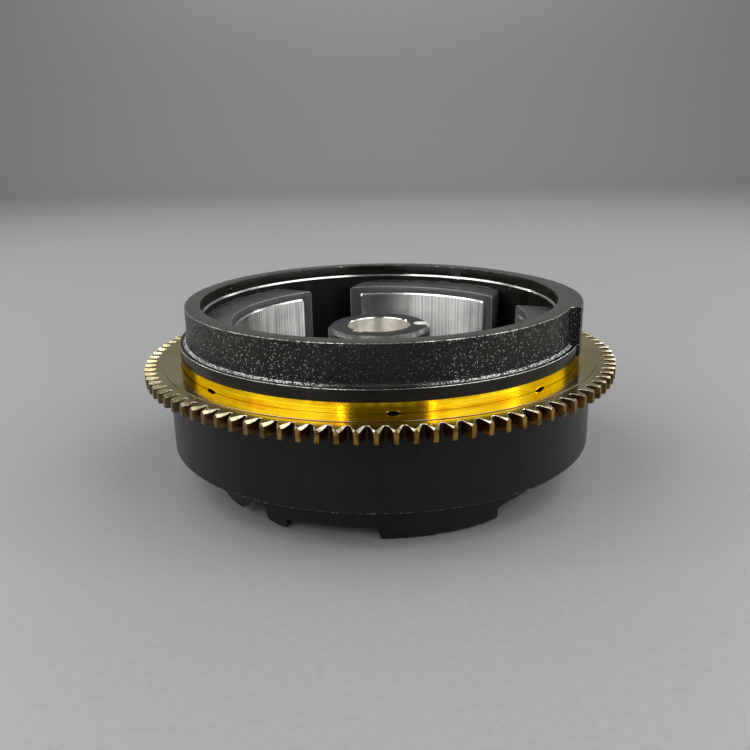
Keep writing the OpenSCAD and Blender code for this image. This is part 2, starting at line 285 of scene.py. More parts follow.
# ---------------------------------------------------------------- material helpers
class Tree:
    """A small builder for one material's nodes."""

    def __init__(self, name):
        self.material = bpy.data.materials.new(name)
        self.material.use_nodes = True
        self.nodes = self.material.node_tree.nodes
        self.links = self.material.node_tree.links
        self.nodes.clear()
        self.shader = self.add("ShaderNodeBsdfPrincipled")
        output = self.add("ShaderNodeOutputMaterial")
        self.links.new(self.shader.outputs[0], output.inputs[0])
        self.place = self.add("ShaderNodeTexCoord").outputs["Object"]

    def add(self, kind, inputs=None, **settings):
        """A node with settings and inputs; an input is a value or another node's output."""
        node = self.nodes.new(kind)
        for key, value in settings.items():
            setattr(node, key, value)
        for key, value in (inputs or {}).items():
            self.put(node.inputs[key], value)
        return node

    def put(self, socket, value):
        if isinstance(value, bpy.types.NodeSocket):
            self.links.new(value, socket)
        else:
            socket.default_value = value

    def set(self, **values):
        """Sets the shader's own sockets: base_color becomes Base Color, and so on."""
        names = {s.name.lower().replace(" ", "_"): s for s in self.shader.inputs}
        for key, value in values.items():
            self.put(names[key], value)

    def math(self, operation, *values, clamp=False):
        node = self.add("ShaderNodeMath", operation=operation, use_clamp=clamp)
        for socket, value in zip(node.inputs, values):
            self.put(socket, value)
        return node.outputs[0]

    def stretched(self, x, y, z):
        """The object's coordinates in millimetres, scaled along each axis."""
        inputs = {0: self.place, 1: (x / MM, y / MM, z / MM)}
        return self.add("ShaderNodeVectorMath", inputs, operation="MULTIPLY").outputs[0]

    def radial(self, scale, drift=0.01):
        """Coordinates that change fast along the radius, for rings turned on a face."""
        x, y, _ = self.parts()
        r = self.math("MULTIPLY", self.radius(), scale / MM)
        dx = self.math("MULTIPLY", x, drift / MM)
        dy = self.math("MULTIPLY", y, drift / MM)
        return self.add("ShaderNodeCombineXYZ", {0: r, 1: dx, 2: dy}).outputs[0]

    def parts(self):
        return self.add("ShaderNodeSeparateXYZ", {0: self.place}).outputs

    def radius(self):
        x, y, _ = self.parts()
        squares = self.math("ADD", self.math("MULTIPLY", x, x), self.math("MULTIPLY", y, y))
        return self.math("SQRT", squares)

    def noise(self, vector, scale=1.0, detail=3.0, rough=0.5):
        inputs = {"Vector": vector, "Scale": scale, "Detail": detail, "Roughness": rough}
        return self.add("ShaderNodeTexNoise", inputs).outputs[0]

    def grain(self, scale, detail=3.0, rough=0.5):
        """Noise that is as coarse along every axis."""
        return self.noise(self.stretched(1, 1, 1), scale, detail, rough)

    def cells(self, scale):
        inputs = {"Vector": self.stretched(1, 1, 1), "Scale": scale}
        return self.add("ShaderNodeTexVoronoi", inputs).outputs["Distance"]

    def ramp(self, value, *stops):
        """A colour or grey by value; a stop is (place, grey) or (place, (r, g, b))."""
        node = self.add("ShaderNodeValToRGB", {0: value})
        stones = node.color_ramp.elements
        while len(stones) < len(stops):
            stones.new(0.5)
        for stone, (spot, tint) in zip(stones, stops):
            stone.position = spot
            stone.color = (*tint, 1) if isinstance(tint, tuple) else (tint, tint, tint, 1)
        return node.outputs[0]

    def blend(self, share, low, high, kind="MIX"):
        """Mixes two colours; each is a colour or another node's output."""
        low, high = (c if isinstance(c, bpy.types.NodeSocket) else (*c, 1) for c in (low, high))
        inputs = {0: share, 6: low, 7: high}
        return self.add("ShaderNodeMix", inputs, data_type="RGBA", blend_type=kind).outputs[2]

    def mix(self, share, low, high):
        """Mixes two numbers."""
        return self.add("ShaderNodeMix", {0: share, 2: low, 3: high}, data_type="FLOAT").outputs[0]

    def bump(self, height, strength, depth, below=None):
        """Bump from a height, with a depth in millimetres, on top of another bump."""
        inputs = {"Height": height, "Strength": strength, "Distance": depth * MM}
        node = self.add("ShaderNodeBump", inputs)
        if below is not None:
            self.links.new(below, node.inputs["Normal"])
        self.links.new(node.outputs[0], self.shader.inputs["Normal"])
        return node.outputs[0]

    def turned(self, amount):
        """Highlights drawn out round the axis, as turning does."""
        tangent = self.add("ShaderNodeTangent", direction_type="RADIAL", axis="Z")
        self.links.new(tangent.outputs[0], self.shader.inputs["Tangent"])
        self.set(anisotropic=amount, anisotropic_rotation=0.25)


# ---------------------------------------------------------------- materials
def rough_paint_and_glints(name, density, size, threshold, sides, gloss=0.22):
    """Gloss black paint over sand-cast iron, with pale painted glints: specks in its colour that stand
    in for highlights on the grains.

    size is the glints' radius as a share of their spacing, and threshold thins them out;
    sides gives the share of them left at distances across the casting, as stops, so that the painted
    glints crowd where the light falls.
    """
    t = Tree(name)
    grain = t.grain(1.1, 3, 0.6)
    fine = t.grain(3.2, 2, 0.55)
    patches = t.grain(0.05, 3, 0.6)
    # Painted glints: pale, slightly metallic specks in the colour that stand in for highlights.
    painted_glints = t.ramp(t.cells(density), (size, 1.0), (size + 0.09, 0.0))
    chosen = t.ramp(t.grain(1.0, 3), (threshold, 0.0), (threshold + 0.05, 1.0))
    # How many painted glints are left, by distance from the middle across X, where the light falls.
    side = t.math("MULTIPLY", t.math("ABSOLUTE", t.parts()[0]), 1 / (RIM_R * MM))
    glint_crowding = t.math("MULTIPLY", t.ramp(side, *sides), t.ramp(patches, (0.4, 0.8), (0.6, 1.2)))
    share = t.math("MULTIPLY", t.math("MULTIPLY", painted_glints, chosen), glint_crowding, clamp=True)
    tint = t.ramp(patches, (0.35, (0.003, 0.002, 0.001)), (0.7, (0.003, 0.003, 0.002)))
    t.set(base_color=t.blend(share, tint, (0.97, 0.96, 0.92)))
    t.set(metallic=t.math("MULTIPLY", share, 0.15))
    t.set(roughness=t.ramp(grain, (0.3, 0.10), (0.75, 0.2)), specular_ior_level=gloss)
    low = t.bump(grain, 1.0, 0.8)
    t.bump(fine, 1.0, 0.26, low)
    return t.material


def smooth_paint(name, tint, rough, streak=0.5, gloss=0.2):
    """Satin black paint over a turned surface, with faint upright streaks, mottling and dust."""
    t = Tree(name)
    drops = t.noise(t.stretched(0.35, 0.35, 0.02), 1.0, 3, 0.6)
    mottle = t.grain(0.12, 4, 0.6)
    dust = t.ramp(t.cells(0.07), (0.016, 1.0), (0.026, 0.0))
    dark = tuple(c * 0.7 for c in tint)
    light = tuple(c * 1.5 for c in tint)
    shade = t.math("ADD", t.math("MULTIPLY", drops, streak), t.math("MULTIPLY", mottle, 1 - streak))
    paint = t.ramp(shade, (0.3, dark), (0.7, light))
    t.set(base_color=t.blend(dust, paint, (0.30, 0.30, 0.29)))
    t.set(roughness=t.ramp(shade, (0.3, rough - 0.08), (0.75, rough + 0.1)))
    t.set(specular_ior_level=gloss)
    turning = t.noise(t.stretched(0.03, 0.03, 2.2), 1.0, 2)
    skin = t.grain(0.9, 3, 0.55)
    low = t.bump(turning, 0.25, 0.05)
    t.bump(skin, 0.3, 0.08, low)
    return t.material


def worn_edge(name="worn_edge", bare=0.5):
    """Black paint rubbed through to bright steel along an edge."""
    t = Tree(name)
    wear = t.grain(0.55, 5, 0.7)
    mask = t.ramp(wear, (bare - 0.05, 0.0), (bare + 0.05, 1.0))
    scratch = t.grain(3.0, 2)
    steel = t.ramp(scratch, (0.3, (0.55, 0.54, 0.51)), (0.7, (0.85, 0.84, 0.80)))
    t.set(base_color=t.blend(mask, (0.015, 0.014, 0.013), steel))
    t.set(metallic=mask, roughness=t.mix(mask, 0.4, 0.22))
    t.bump(wear, 0.5, 0.12)
    return t.material


def gold_seat():
    """Turned steel under a yellow passivated film, with darker amber runs."""
    t = Tree("gold_seat")
    lines = t.noise(t.stretched(0.012, 0.012, 2.6), 1.0, 4, 0.65)
    runs = t.noise(t.stretched(0.05, 0.05, 0.35), 1.0, 3, 0.6)
    spots = t.ramp(t.grain(0.9, 4, 0.7), (0.60, 0.0), (0.72, 1.0))
    amber, gold, yellow = (0.76, 0.38, 0.006), (0.86, 0.59, 0.011), (0.93, 0.72, 0.025)
    film = t.ramp(runs, (0.34, amber), (0.5, gold), (0.66, yellow))
    toned = t.blend(0.8, film, t.ramp(lines, (0.3, 0.6), (0.55, 1.0)), "MULTIPLY")
    t.set(base_color=t.blend(t.math("MULTIPLY", spots, 0.4), toned, (0.45, 0.22, 0.02)))
    t.set(metallic=1.0, specular_tint=(1.0, 0.75, 0.2, 1.0))
    t.set(roughness=t.ramp(lines, (0.3, 0.24), (0.7, 0.14)))
    t.turned(0.75)
    t.bump(lines, 0.25, 0.03)
    return t.material


def gear_face():
    """The gear's turned face: fine rings in bright steel with a straw-coloured film."""
    t = Tree("gear_face")
    rings = t.noise(t.radial(3.2), 1.0, 4, 0.6)
    film = t.grain(0.05, 3)
    tint = t.ramp(film, (0.35, (0.57, 0.49, 0.28)), (0.65, (0.72, 0.66, 0.47)))
    t.set(base_color=tint, metallic=1.0, specular_tint=(0.97, 0.9, 0.7, 1.0))
    t.set(roughness=t.ramp(rings, (0.3, 0.2), (0.7, 0.1)))
    t.turned(0.3)
    t.bump(rings, 0.2, 0.02)
    return t.material


def gear_flank(name, dark, light, rough, grain_depth=0.05, sides=(0.0, 0.0), far=(0.42, 0.38, 0.24)):
    """Cut sides of the teeth: steel under a film whose depth changes from tooth to tooth.

    The film has another tint, far, at the two sides of the ring, a painted reflection of what the teeth
    face there; sides is how much of it there is towards -X and +X.
    """
    t = Tree(name)
    film = t.grain(0.35, 5, 0.7)
    cut = t.noise(t.stretched(1.4, 1.4, 0.25), 1.0, 4, 0.6)
    # Painted reflection: share of the side tint by place across X, none in the middle of the ring.
    across = t.math("MULTIPLY_ADD", t.parts()[0], 0.5 / (TIP_R * MM), 0.5)
    side = t.ramp(across, (0.05, sides[0]), (0.42, 0.0), (0.75, 0.0), (0.95, sides[1]))
    tint = t.ramp(film, (0.36, dark), (0.64, light))
    t.set(base_color=t.blend(side, tint, far), metallic=1.0)
    t.set(roughness=t.ramp(cut, (0.3, rough - 0.08), (0.7, rough + 0.12)))
    t.bump(cut, 0.5, grain_depth)
    return t.material


def brushed_shoe():
    """Turned steel with upright ribs where the cutter chattered, over the lit part of each shoe; towards
    one end of each shoe the steel is smooth and a darker copy, as painted shade.
    """
    t = Tree("brushed_shoe")
    x, y, _ = t.parts()
    angle = t.math("ARCTAN2", x, y)
    sway = t.noise(t.stretched(0.12, 0.12, 0.01), 1.0, 2)
    beat = t.math("ADD", t.math("MULTIPLY", angle, 215.0), t.math("MULTIPLY", sway, 5.0))
    ribs = t.math("SINE", beat)
    fine_ribs = t.math("SINE", t.math("MULTIPLY", beat, 2.7))
    # Where each shoe is lit it carries the ribs; towards one end it is left smooth, with painted shade.
    turn = t.math("MULTIPLY_ADD", angle, BLOCKS, math.radians(BLOCKS * FIRST_BLOCK))
    around_block = t.math("SINE", turn)
    ribbed_lit_part = t.ramp(t.math("MULTIPLY_ADD", around_block, 0.5, 0.5), (0.22, 0.0), (0.32, 1.0))
    strokes = t.noise(t.stretched(0.5, 0.5, 0.012), 1.0, 3, 0.6)
    cloud = t.grain(0.08, 3)
    shade = t.math("ADD", t.math("MULTIPLY", ribs, 0.09), t.math("MULTIPLY", fine_ribs, 0.035))
    shade = t.math("ADD", shade, t.math("MULTIPLY", strokes, 0.55))
    shade = t.math("ADD", shade, t.math("MULTIPLY", cloud, 0.45))
    ribbed = t.ramp(shade, (0.35, (0.66, 0.66, 0.65)), (0.56, (1.0, 1.0, 0.97)))
    # Painted shade: the smooth end of each shoe is a darker copy of the steel.
    smooth = t.ramp(cloud, (0.4, (0.46, 0.45, 0.43)), (0.62, (0.66, 0.65, 0.63)))
    t.set(base_color=t.blend(ribbed_lit_part, smooth, ribbed))
    t.set(metallic=1.0, roughness=t.ramp(strokes, (0.35, 0.36), (0.7, 0.44)))
    t.turned(0.85)
    t.bump(t.math("MULTIPLY", ribs, ribbed_lit_part), 0.5, 0.03)
    return t.material


def bare_steel(name, tint, rough, rings=2.5, metal=1.0):
    """Turned bright steel with fine lines round the axis."""
    t = Tree(name)
    lines = t.noise(t.stretched(0.02, 0.02, rings), 1.0, 3, 0.6)
    stain = t.grain(0.15, 3)
    dull = tuple(c * 0.72 for c in tint)
    t.set(base_color=t.ramp(stain, (0.35, dull), (0.6, tint)), metallic=metal)
    t.set(roughness=t.ramp(lines, (0.3, rough - 0.06), (0.7, rough + 0.1)))
    t.turned(0.4)
    t.bump(lines, 0.3, 0.03)
    return t.material


def moulding(name="frame_moulding", tint=0.065, rough=0.26):
    """Dark moulded plastic, slightly grained."""
    t = Tree(name)
    grain = t.grain(2.2, 3, 0.6)
    cloud = t.grain(0.1, 3)
    shades = [tuple(tint * share * c for c in (1.0, 1.0, 0.94)) for share in (0.75, 1.25)]
    t.set(base_color=t.ramp(cloud, (0.35, shades[0]), (0.68, shades[1])))
    t.set(roughness=t.ramp(grain, (0.3, rough), (0.7, rough + 0.12)), specular_ior_level=0.85)
    t.bump(grain, 0.2, 0.03)
    return t.material


def mottled(name, grain, tints, roughness, relief, **settings):
    """A material whose tint, roughness and relief all follow one noise."""
    t = Tree(name)
    spots = t.grain(*grain)
    t.set(base_color=t.ramp(spots, *tints), roughness=t.ramp(spots, *roughness), **settings)
    t.bump(spots, *relief)
    return t.material


def ceramic():
    """The dark ceramic of the magnets."""
    tints = (0.3, (0.025, 0.025, 0.027)), (0.7, (0.06, 0.06, 0.062))
    return mottled("magnet_ceramic", (3.0, 4, 0.6), tints, ((0.3, 0.5), (0.7, 0.7)), (0.3, 0.05))


def amber_glue():
    """Set adhesive, dark brown with a few amber chips."""
    tints = (0.52, (0.010, 0.007, 0.004)), (0.68, (0.04, 0.024, 0.012))
    roughness = (0.3, 0.25), (0.7, 0.5)
    return mottled("amber_glue", (0.45, 4, 0.65), tints, roughness, (0.4, 0.2), specular_ior_level=0.4)


def zinc():
    """Zinc plate on the bolts and washers."""
    tints = (0.35, (0.42, 0.40, 0.34)), (0.65, (0.62, 0.60, 0.52))
    roughness = (0.3, 0.28), (0.7, 0.45)
    return mottled("zinc_plate", (0.6, 4, 0.6), tints, roughness, (0.2, 0.03), metallic=1.0)


def pale_floor():
    """A plain pale sheet with a soft sheen."""
    t = Tree("pale_floor")
    grain = t.grain(0.4, 3)
    t.set(base_color=t.ramp(grain, (0.3, (0.30, 0.30, 0.30)), (0.7, (0.325, 0.325, 0.325))))
    t.set(roughness=t.ramp(grain, (0.3, 0.42), (0.7, 0.5)))
    return t.material


# Cast paint on the rim wall, with painted glints that are fewer in the middle than at the left and
# right; and on the lower part of the root fillet a painted highlight band of dense pale specks, none in
# the middle.
RIM_GLINT_SIDES = (0.1, 0.15), (0.4, 1.0), (0.86, 1.0), (0.97, 0.4)
ROOT_HIGHLIGHT_SIDES = (0.14, 0.0), (0.38, 0.9), (0.5, 1.0), (0.96, 0.9)
CAST = rough_paint_and_glints("rim_cast_paint", 1.9, 0.20, 0.53, RIM_GLINT_SIDES)
ROOT_HIGHLIGHT = rough_paint_and_glints("rim_root_paint", 1.9, 0.5, 0.42, ROOT_HIGHLIGHT_SIDES, 0.5)
SATIN = smooth_paint("satin_paint", (0.0055, 0.0055, 0.004), 0.34)
LEDGE = smooth_paint("ledge_paint", (0.006, 0.005, 0.003), 0.24, 0.2)
# The rim's top face: the same black paint in a lighter grey, as painted light from above.
RIM_TOP_PAINTED_LIGHT = smooth_paint("rim_top_paint", (0.034, 0.034, 0.028), 0.30, 0.1, 0.6)
WORN = worn_edge("worn_edge", 0.49)
RUBBED = worn_edge("rubbed_edge", 0.6)
BARE = worn_edge("bare_edge", 0.43)
# Near-black painted shade: under the drum's bottom edge, on the seat under the gear, in the staking
# slits, in the gear's joint against the seat and on the pulley's top chamfer under the drum.
SHADOW = smooth_paint("painted_shade", (0.003, 0.0025, 0.002), 0.5, 0.5, 0.03)
GOLD = gold_seat()
LIP = bare_steel("lip_steel", (0.86, 0.85, 0.82), 0.2)


# ---------------------------------------------------------------- the cup
def arc_rise(angle):
    """How far the timing arc stands out beyond the rim at an angle.

    The arc is struck from its own centre, off the axis, so it starts with a step and
    fades out; a small concave root leads up to the step.
    """
    root, sweep = 2.0, 1.3
    past = math.radians(angle - ARC_START)
    if 0 <= past <= math.radians(ARC_REACH):
        own_radius = ARC_R - ARC_OFFSET
        across = ARC_OFFSET * math.sin(past)
        reach = ARC_OFFSET * math.cos(past) + math.sqrt(own_radius ** 2 - across ** 2)
        return max(0.0, reach - RIM_R)
    t = 1 + math.degrees(past) / sweep
    if 0 < t < 1:
        return root * (1 - math.sqrt(1 - t * t))
    return 0.0


def stake_place(angle, z):
    """Where a point lies in a staking mark: (arch, height over the gear), or None outside."""
    half_width = 1.7
    for centre in STAKE_ANGLES:
        u = ((angle - centre + 180) % 360 - 180) / half_width
        if abs(u) < 1:
            return math.sqrt(1 - u * u), z - GEAR_TOP
    return None


def stake_depth(angle, z):
    """Radial change of the seat at a staking mark: a slit with a raised brow over it."""
    slit, brow = 0.75, 0.5
    place = stake_place(angle, z)
    if place is None:
        return 0.0
    arch, h = place
    if 0.05 <= h < slit * arch:
        return -1.4 * arch
    if slit * arch <= h < slit * arch + brow:
        return 0.35 * arch * (1 - (h - slit * arch) / brow)
    return 0.0


def cup_shape(angle, r, z):
    """Raises the timing arc, roughens the cast rim and stamps the staking marks."""
    foot = LEDGE_TOP + 0.02
    if z > foot and r > RIM_R - 1:
        rise = arc_rise(angle)
        inset = min(1.0, max(0.0, RIM_R - r))
        outer = max(r, RIM_R - inset + rise)
        edge = min(1, (z - foot) / 0.5) * min(1, (TOP - z) / 0.6)
        cast = 0.25 if ARC_START - 1.3 < angle < ARC_START + 0.3 else 1
        spot = around(angle, outer, z)
        lumps = noise.noise(spot * 0.95) + 0.7 * noise.noise(spot * 2.0) + 0.3 * noise.noise(spot * 0.25)
        r = outer + 0.12 * lumps * max(0, edge) * cast
    elif z > LEDGE_BOTTOM + 0.02 and r > RIM_R - 1:
        r = max(r, RIM_R + arc_rise(angle))
    elif GEAR_TOP <= z < LEDGE_BOTTOM and abs(r - SEAT_R) < 0.01:
        r += stake_depth(angle, z)
    elif z == LIP_TOP and r == BOWL_R and CHIPS_START < angle < CHIPS_END:
        z -= 0.9 * max(0.0, noise.noise(around(angle, r, z) * 0.8))
    return r, z


def cup_angles():
    """Even steps round the rim, with close ones where the timing arc starts."""
    steps = even_angles(1200)
    near = [a for a in steps if not ARC_START - 1.4 < a < ARC_START + 0.2]
    close = [ARC_START - 1.35 + 0.09 * i for i in range(15)]
    return sorted(near + close + [ARC_START - 0.03, ARC_START + 0.03])


def build_cup():
    satin, cast, ledge, worn, gold, lip, rubbed, shadow, top, root, bare = range(11)
    fillet = 1.6
    outline = [
        (PILOT_R, CUP_BOTTOM, satin),
        # The drum's bottom chamfer takes painted shade, a dark line under the drum's edge.
        (DRUM_R - 0.6, CUP_BOTTOM, shadow),
        (DRUM_R - 0.08, CUP_BOTTOM + 0.5, rubbed),
        (DRUM_R, CUP_BOTTOM + 0.72, satin),
    ]
    outline += line_profile((DRUM_R, CUP_BOTTOM + 1), (DRUM_R, GEAR_BOTTOM - 0.3), 5, satin)
    outline += [
        (DRUM_R, GEAR_BOTTOM - 0.3, satin),
        (DRUM_R - 0.3, GEAR_BOTTOM, satin),
        # The seat under the gear takes painted shade.
        (SEAT_R, GEAR_BOTTOM, shadow),
    ]
    outline += line_profile((SEAT_R, GEAR_TOP - 0.4), (SEAT_R, GEAR_TOP + 1.6), 0.1, gold)
    outline += line_profile((SEAT_R, GEAR_TOP + 1.6), (SEAT_R, LEDGE_BOTTOM), 0.5, gold)
    outline += [
        (SEAT_R, LEDGE_BOTTOM, gold),
        (SEAT_R + 0.06, LEDGE_BOTTOM + 0.05, ledge),
        (SEAT_R + 0.06, LEDGE_TOP - 0.25, bare),
        (SEAT_R, LEDGE_TOP - 0.08, bare),
        (SEAT_R - 0.16, LEDGE_TOP, ledge),
        (SEAT_R - 0.9, LEDGE_TOP, ledge),
    ]
    # The lower part of the root fillet takes the painted highlight band of pale specks; the rest takes
    # the cast paint.
    foot = arc_profile(RIM_R + fillet, LEDGE_TOP + fillet, fillet, 270, 180, 7, root)
    outline += foot[:4] + [(r, z, cast) for r, z, _ in foot[4:-1]]
    outline += line_profile((RIM_R, LEDGE_TOP + fillet), (RIM_R, TOP - 0.3), 0.4, cast)
    outline += [
        (RIM_R, TOP - 0.3, worn),
        (RIM_R - 0.08, TOP - 0.08, worn),
        # The rim's top face takes the lighter grey, painted light from above.
        (RIM_R - 0.3, TOP, top),
        (MOUTH_R + 0.25, TOP, top),
        (MOUTH_R + 0.07, TOP - 0.07, rubbed),
        (MOUTH_R, TOP - 0.25, ledge),
        (MOUTH_R, LIP_TOP + LIP_SLOPE, lip),
        (BOWL_R, LIP_TOP, satin),
    ]
    outline += line_profile((BOWL_R, LIP_TOP - 0.5), (BOWL_R, FLOOR_TOP + 2.4), 6, satin)
    outline += arc_profile(BOWL_R - 2.4, FLOOR_TOP + 2.4, 2.4, 0, -90, 5, satin)
    outline += [(PILOT_R, FLOOR_TOP, satin)]

    def tint(angle, r, z, slot):
        """Painted shade in the slits under the staking marks; along the timing arc the root fillet takes
        cast paint instead of its painted highlight, and part of the rim's worn top edge is bare steel.
        """
        place = stake_place(angle, z)
        if slot == gold and place and 0 <= place[1] < 0.95 * place[0]:
            return shadow
        if slot == root and ARC_START - 2 < angle < ARC_START + ARC_REACH:
            return cast
        if slot == worn and z > LEDGE_TOP + 1 and ARC_START + 4 < angle < ARC_START + 24:
            return lip
        return slot

    parts = [SATIN, CAST, LEDGE, WORN, GOLD, LIP, RUBBED, SHADOW, RIM_TOP_PAINTED_LIGHT, ROOT_HIGHLIGHT, BARE]
    cup = lathe("cup_shell", outline, cup_angles(), parts, cup_shape, tint, 38)
    hand_in(cup, "cup_casting", "flywheel_cup")


# ---------------------------------------------------------------- the ring gear
def half_tooth(r):
    """Half the angle that an involute tooth covers at a radius."""

    def involute(radius):
        t = math.acos(min(1, BASE_R / radius))
        return math.degrees(math.tan(t) - t)

    return 90 / TEETH + involute(PITCH_R) - involute(r)


class Pitch:
    """One tooth and half the gap each side of it, its middle at angle 0."""

    def __init__(self):
        self.points, self.faces, self.slots = [], [], []

    def point(self, angle, r, z, shift=0.0):
        """A new point; shift moves it along the tangent, in millimetres."""
        self.points.append(around(angle + math.degrees(shift / r), r, z))
        return len(self.points) - 1

    def fill(self, slot, *corners):
        self.faces.append(corners)
        self.slots.append(slot)

    def strip(self, slots, one, two):
        """Faces between two rows of points, each with its own material."""
        for k, slot in enumerate(slots):
            self.fill(slot, one[k], one[k + 1], two[k + 1], two[k])


def add_tooth(pitch):
    """The tooth itself, as rows of points down its flanks: {side: row at each radius}.

    The right-hand flank has the wide lead-in bevel, and the left one a narrow edge break.
    """
    radii = [ROOT_R + 0.25, ROOT_R + 1.4, PITCH_R + 0.5, TIP_R]
    bevel = [(0.3, 0.35), (0.62, 0.75), (0.88, 1.05), (0.92, 1.05)]
    nick = [(0.14, 0.14), (0.16, 0.16), (0.3, 0.35), (0.7, 0.75)]
    tip_break = 0.15
    rows = {1: [], -1: []}
    for side, cuts in ((1, bevel), (-1, nick)):
        for r, (inset, down) in zip(radii, cuts):
            h = side * half_tooth(r)
            at_tip = r == TIP_R
            rows[side].append([
                pitch.point(h, r - tip_break * at_tip, TOOTH_TOP, -side * inset),
                pitch.point(h, r, TOOTH_TOP - down),
                pitch.point(h, r, GEAR_BOTTOM + LOW_BREAK),
                pitch.point(h, r - LOW_BREAK * at_tip, GEAR_BOTTOM, -side * LOW_BREAK),
            ])
        for a, b in zip(rows[side], rows[side][1:]):
            pitch.strip((BEVEL, FLANK, FLANK), a, b)
    for i in range(len(radii) - 1):
        corners = rows[1][i], rows[-1][i], rows[-1][i + 1], rows[1][i + 1]
        pitch.fill(FACE, *[row[0] for row in corners])
        pitch.fill(FLANK, *[row[-1] for row in corners])
    pitch.strip((LAND, LAND, LAND), rows[-1][-1], rows[1][-1])
    return rows


def add_gap(pitch, side, root_row):
    """Half of the gap on one side: its two rows of points, the outer one first."""
    edge_break, edge_drop = 0.112, 0.14
    rows = []
    for angle in (180 / TEETH, half_tooth(ROOT_R + 0.25) + 0.2):
        rows.append([
            pitch.point(side * angle, ROOT_R - edge_break, TOOTH_TOP),
            pitch.point(side * angle, ROOT_R, TOOTH_TOP - edge_drop),
            pitch.point(side * angle, ROOT_R, GEAR_BOTTOM + LOW_BREAK),
            pitch.point(side * angle, ROOT_R - LOW_BREAK, GEAR_BOTTOM),
        ])
    for one, two in zip(rows, rows[1:] + [root_row]):
        # Below its top edge, the gap's floor takes painted shade.
        pitch.strip((BEVEL, GAP_SHADE, GAP_SHADE), one, two)
    return rows


def break_edges(gear, width, slot):
    """Gives the upper edges of the teeth and gaps a narrow worn flat."""
    bm = bmesh.new()
    bm.from_mesh(gear.data)
    weight = bm.edges.layers.float.new("bevel_weight_edge")
    for e in bm.edges:
        reach = [math.hypot(v.co.x, v.co.y) / MM for v in e.verts]
        high = min(v.co.z for v in e.verts) / MM > GEAR_TOP - 1.7
        if high and ROOT_R - 1.0 < min(reach) < TIP_R - 0.5 and e.calc_face_angle(0) > math.radians(28):
            e[weight] = 1.0
    bm.to_mesh(gear.data)
    bm.free()
    mod = gear.modifiers.new("edges", "BEVEL")
    mod.width = width * MM
    mod.segments = 1
    mod.limit_method = "WEIGHT"
    mod.material = slot
    settle(gear)


def gear_looks():
    """The ring gear's materials, in the order of FACE to EDGE."""
    brown, tan = (0.040, 0.014, 0.005), (0.20, 0.085, 0.022)
    olive, cream = (0.34, 0.26, 0.10), (0.86, 0.82, 0.66)
    umber, bronze = (0.08, 0.035, 0.008), (0.36, 0.22, 0.05)
    return [
        gear_face(),
        # Flank, bevel and land each end in the tint of their painted reflection at the sides of the
        # ring.
        gear_flank("tooth_flank", brown, tan, 0.34, 0.05, (0.6, 0.25), (0.13, 0.12, 0.07)),
        gear_flank("tooth_bevel", olive, cream, 0.28, 0.08, (0.6, 0.2), (0.42, 0.33, 0.10)),
        gear_flank("tooth_land", umber, bronze, 0.34, 0.12, (0.85, 0.4), (0.13, 0.12, 0.08)),
        # The gaps between the teeth: near black, as painted shade in the recess.
        gear_flank("tooth_gap", (0.018, 0.010, 0.008), (0.045, 0.026, 0.016), 0.3),
        # For the seat rings: the painted shade.
        SHADOW,
        gear_flank("tooth_edge", (0.45, 0.40, 0.28), (0.85, 0.82, 0.70), 0.3),
    ]


def build_gear():
    pitch = Pitch()
    tooth = add_tooth(pitch)
    right, left = tooth[1][0], tooth[-1][0]
    outer_right, inner_right = add_gap(pitch, 1, right)
    outer_left, inner_left = add_gap(pitch, -1, left)
    rim = [outer_left, inner_left, left, right, inner_right, outer_right]
    angles = [180 / TEETH * share for share in (-1, -0.62, -0.25, 0.25, 0.62, 1)]
    rings = [
        (LIP_R + 0.04, TOOTH_TOP + 0.02, FLANK),
        (LIP_R, GEAR_TOP - 0.04, FACE),
        (LIP_R - 0.04, GEAR_TOP, FACE),
        # The rings in the joint against the cup's seat take painted shade.
        (SEAT_R + 0.2, GEAR_TOP, SEAT),
        (SEAT_R + 0.05, GEAR_TOP - 0.15, SEAT),
        (SEAT_R + 0.05, GEAR_BOTTOM + 0.3, SEAT),
        (SEAT_R + 0.35, GEAR_BOTTOM, FLANK),
        (ROOT_R - 2.5, GEAR_BOTTOM, FLANK),
    ]
    grid = [[pitch.point(a, r, z) for a in angles] for r, z, _ in rings]
    for k in range(len(angles) - 1):
        pitch.fill(FACE, rim[k][0], rim[k + 1][0], grid[0][k + 1], grid[0][k])
        pitch.fill(FLANK, grid[-1][k], grid[-1][k + 1], rim[k + 1][-1], rim[k][-1])
        for (_, _, slot), one, two in zip(rings, grid, grid[1:]):
            pitch.fill(slot, one[k], one[k + 1], two[k + 1], two[k])
    points, faces = [], []
    for i in range(TEETH):
        turn = Matrix.Rotation(math.radians(FIRST_TOOTH + i * 360 / TEETH), 3, "Z")
        start = len(points)
        points += [turn @ p for p in pitch.points]
        faces += [tuple(start + c for c in f) for f in pitch.faces]
    gear = make_object("ring_gear_teeth", points, faces, pitch.slots * TEETH, gear_looks(), sharp=24)
    break_edges(gear, 0.06, EDGE)
    hand_in(gear, "gear_steel", "ring_gear")


# ---------------------------------------------------------------- the hub
def cutter(name, outline, low, high, place, material=None):
    """A closed prism to cut with: an outline of (x, y), two heights, and a matrix in millimetres."""
    points = [place @ Vector((x, y, z)) for z in (low, high) for x, y in outline]
    materials = [material] if material else []
    return make_object(name, points, tube_faces(2, len(outline)), None, materials)


def circle_outline(r, x=0.0, count=48):
    turns = [2 * math.pi * i / count for i in range(count)]
    return [(x + r * math.cos(t), r * math.sin(t)) for t in turns]


def facing(angle):
    """Turns +X to an angle from the front."""
    return Matrix.Rotation(math.radians(angle - 90), 4, "Z")


